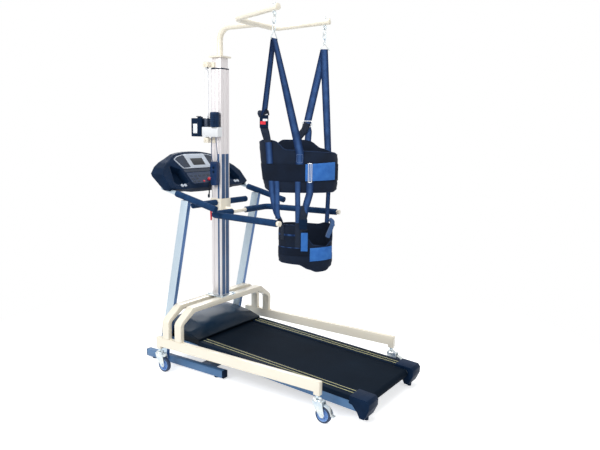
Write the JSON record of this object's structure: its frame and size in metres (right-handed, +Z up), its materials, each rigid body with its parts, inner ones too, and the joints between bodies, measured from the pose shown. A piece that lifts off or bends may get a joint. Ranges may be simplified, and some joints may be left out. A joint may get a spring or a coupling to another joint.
{
  "type": "body weight support system",
  "caption": "Wheeled lifting gantry with an overhead arm, hanging support harness and height-adjustable handrail, standing over a treadmill for gait training.",
  "frame": {"origin": "middle of the footprint, on the floor", "axes": "+X from the console towards the step-on end of the treadmill, +Y to the right of a walker who faces the console, +Z up"},
  "size_m": [1.822, 1.019, 2.3944],
  "materials": {
    "cream_paint": "gloss",
    "blue_grey_steel": "satin",
    "black_plastic": "satin",
    "hood_plastic": "gloss",
    "silver_plastic": "satin",
    "screen_glass": "gloss",
    "silver_tube": "satin",
    "grip_foam": "matte",
    "belt_rubber": "matte",
    "deck_wood": "matte",
    "cast_motor": "satin",
    "bright_zinc": "gloss",
    "wheel_rubber": "satin",
    "bare_aluminium": "satin",
    "red_plastic": "gloss",
    "harness_webbing": "satin",
    "harness_padding": "matte"
  },
  "bodies": {
    "treadmill": {"base_frame": "blue_grey_steel", "foot_caps": "black_plastic", "rear_end_caps": "black_plastic", "uprights": "blue_grey_steel", "console_housing": "black_plastic", "console_fascia": "silver_plastic", "display_screen": "screen_glass", "handlebars": "silver_tube", "handlebar_foams": "grip_foam", "motor_hood": "hood_plastic", "drive_motor": "cast_motor", "running_belt": "belt_rubber", "deck_board": "deck_wood", "side_rails": "black_plastic", "deck_frame": "blue_grey_steel"},
    "front_roller": {"front_roller": "bright_zinc"},
    "rear_roller": {"rear_roller": "bright_zinc"},
    "stop_button": {"stop_button": "red_plastic"},
    "safety_key": {"safety_key": "red_plastic", "safety_tether": "harness_webbing"},
    "gantry": {"frame_rails": "cream_paint", "arches": "cream_paint", "column_base_plate": "cream_paint", "frame_fasteners": "bright_zinc", "outer_column": "bare_aluminium", "column_guide": "black_plastic", "lower_bracket": "cream_paint", "actuator_body": "cast_motor", "actuator_motor": "cast_motor", "control_box": "black_plastic", "handset": "black_plastic", "control_cables": "black_plastic"},
    "up_button": {"up_button": "black_plastic"},
    "down_button": {"down_button": "black_plastic"},
    "lift": {"inner_column": "bare_aluminium", "overhead_arm": "cream_paint", "spreader_bar": "cream_paint", "eye_bolts": "bright_zinc", "actuator_rod": "silver_tube", "upper_bracket": "cream_paint"},
    "handrail": {"handrail_collar": "cream_paint", "u_handrail": "cream_paint", "rail_foams": "grip_foam"},
    "clamp_lever": {"clamp_lever": "red_plastic"},
    "harness": {"hook_chains": "bright_zinc", "suspension_straps": "harness_webbing", "harness_vest": "harness_padding", "buckles": "black_plastic", "leg_straps": "harness_webbing", "thigh_band": "harness_padding"},
    "front_left_fork": {"front_left_fork": "bright_zinc"},
    "front_left_wheel": {"front_left_wheel": "wheel_rubber"},
    "front_right_fork": {"front_right_fork": "bright_zinc"},
    "front_right_wheel": {"front_right_wheel": "wheel_rubber"},
    "rear_left_fork": {"rear_left_fork": "bright_zinc"},
    "rear_left_wheel": {"rear_left_wheel": "wheel_rubber"},
    "rear_left_brake": {"rear_left_brake_pedal": "bright_zinc"},
    "rear_right_fork": {"rear_right_fork": "bright_zinc"},
    "rear_right_wheel": {"rear_right_wheel": "wheel_rubber"},
    "rear_right_brake": {"rear_right_brake_pedal": "bright_zinc"}
  },
  "joints": [
    {"name": "gantry_roll", "type": "slide", "parent": "treadmill", "child": "gantry", "axis": [1, 0, 0], "range_m": [0, 0.5]},
    {"name": "mast_lift", "type": "slide", "parent": "gantry", "child": "lift", "axis": [0, 0, 1], "range_m": [0, 0.3]},
    {"name": "harness_swing", "type": "hinge", "parent": "lift", "child": "harness", "pos_m": [0.1633, 0, 2.3195], "axis": [0, 1, 0], "range_deg": [-8, 12]},
    {"name": "collar_slide", "type": "slide", "parent": "gantry", "child": "handrail", "axis": [0, 0, 1], "range_m": [-0.25, 0]},
    {"name": "clamp_turn", "type": "hinge", "parent": "handrail", "child": "clamp_lever", "pos_m": [-0.572, -0.03, 1.079], "axis": [1, 0, 0], "range_deg": [-90, 90]},
    {"name": "front_roller_spin", "type": "hinge", "parent": "treadmill", "child": "front_roller", "pos_m": [-0.56705, 0, 0.18621], "axis": [0, 1, 0], "continuous": true},
    {"name": "rear_roller_spin", "type": "hinge", "parent": "treadmill", "child": "rear_roller", "pos_m": [0.84891, 0, 0.0996], "axis": [0, 1, 0], "continuous": true},
    {"name": "up_button_press", "type": "slide", "parent": "gantry", "child": "up_button", "axis": [0, 1, 0], "range_m": [0, 0.0015], "stiffness_N_per_m": 400},
    {"name": "down_button_press", "type": "slide", "parent": "gantry", "child": "down_button", "axis": [0, 1, 0], "range_m": [0, 0.0015], "stiffness_N_per_m": 400},
    {"name": "stop_button_press", "type": "slide", "parent": "treadmill", "child": "stop_button", "axis": [-0.7431, 0, -0.6691], "range_m": [0, 0.002], "stiffness_N_per_m": 500},
    {"name": "safety_key_pull", "type": "slide", "parent": "treadmill", "child": "safety_key", "axis": [0.7431, 0, 0.6691], "range_m": [0, 0.02]},
    {"name": "front_left_swivel", "type": "hinge", "parent": "gantry", "child": "front_left_fork", "pos_m": [-0.64, -0.4805, 0.135], "axis": [0, 0, 1], "continuous": true},
    {"name": "front_left_wheel_spin", "type": "hinge", "parent": "front_left_fork", "child": "front_left_wheel", "pos_m": [-0.598, -0.4805, 0.05], "axis": [0, 1, 0], "continuous": true},
    {"name": "front_right_swivel", "type": "hinge", "parent": "gantry", "child": "front_right_fork", "pos_m": [-0.64, 0.4805, 0.135], "axis": [0, 0, 1], "continuous": true},
    {"name": "front_right_wheel_spin", "type": "hinge", "parent": "front_right_fork", "child": "front_right_wheel", "pos_m": [-0.598, 0.4805, 0.05], "axis": [0, 1, 0], "continuous": true},
    {"name": "rear_left_swivel", "type": "hinge", "parent": "gantry", "child": "rear_left_fork", "pos_m": [0.642, -0.4805, 0.135], "axis": [0, 0, 1], "continuous": true},
    {"name": "rear_left_wheel_spin", "type": "hinge", "parent": "rear_left_fork", "child": "rear_left_wheel", "pos_m": [0.684, -0.4805, 0.05], "axis": [0, 1, 0], "continuous": true},
    {"name": "rear_left_brake_press", "type": "hinge", "parent": "rear_left_fork", "child": "rear_left_brake", "pos_m": [0.674, -0.4805, 0.107], "axis": [0, 1, 0], "range_deg": [-10, 5]},
    {"name": "rear_right_swivel", "type": "hinge", "parent": "gantry", "child": "rear_right_fork", "pos_m": [0.642, 0.4805, 0.135], "axis": [0, 0, 1], "continuous": true},
    {"name": "rear_right_wheel_spin", "type": "hinge", "parent": "rear_right_fork", "child": "rear_right_wheel", "pos_m": [0.684, 0.4805, 0.05], "axis": [0, 1, 0], "continuous": true},
    {"name": "rear_right_brake_press", "type": "hinge", "parent": "rear_right_fork", "child": "rear_right_brake", "pos_m": [0.674, 0.4805, 0.107], "axis": [0, 1, 0], "range_deg": [-10, 5]}
  ],
  "couplings": [
    {"joint": "rear_roller_spin", "follows": "front_roller_spin", "ratio": 1}
  ]
}
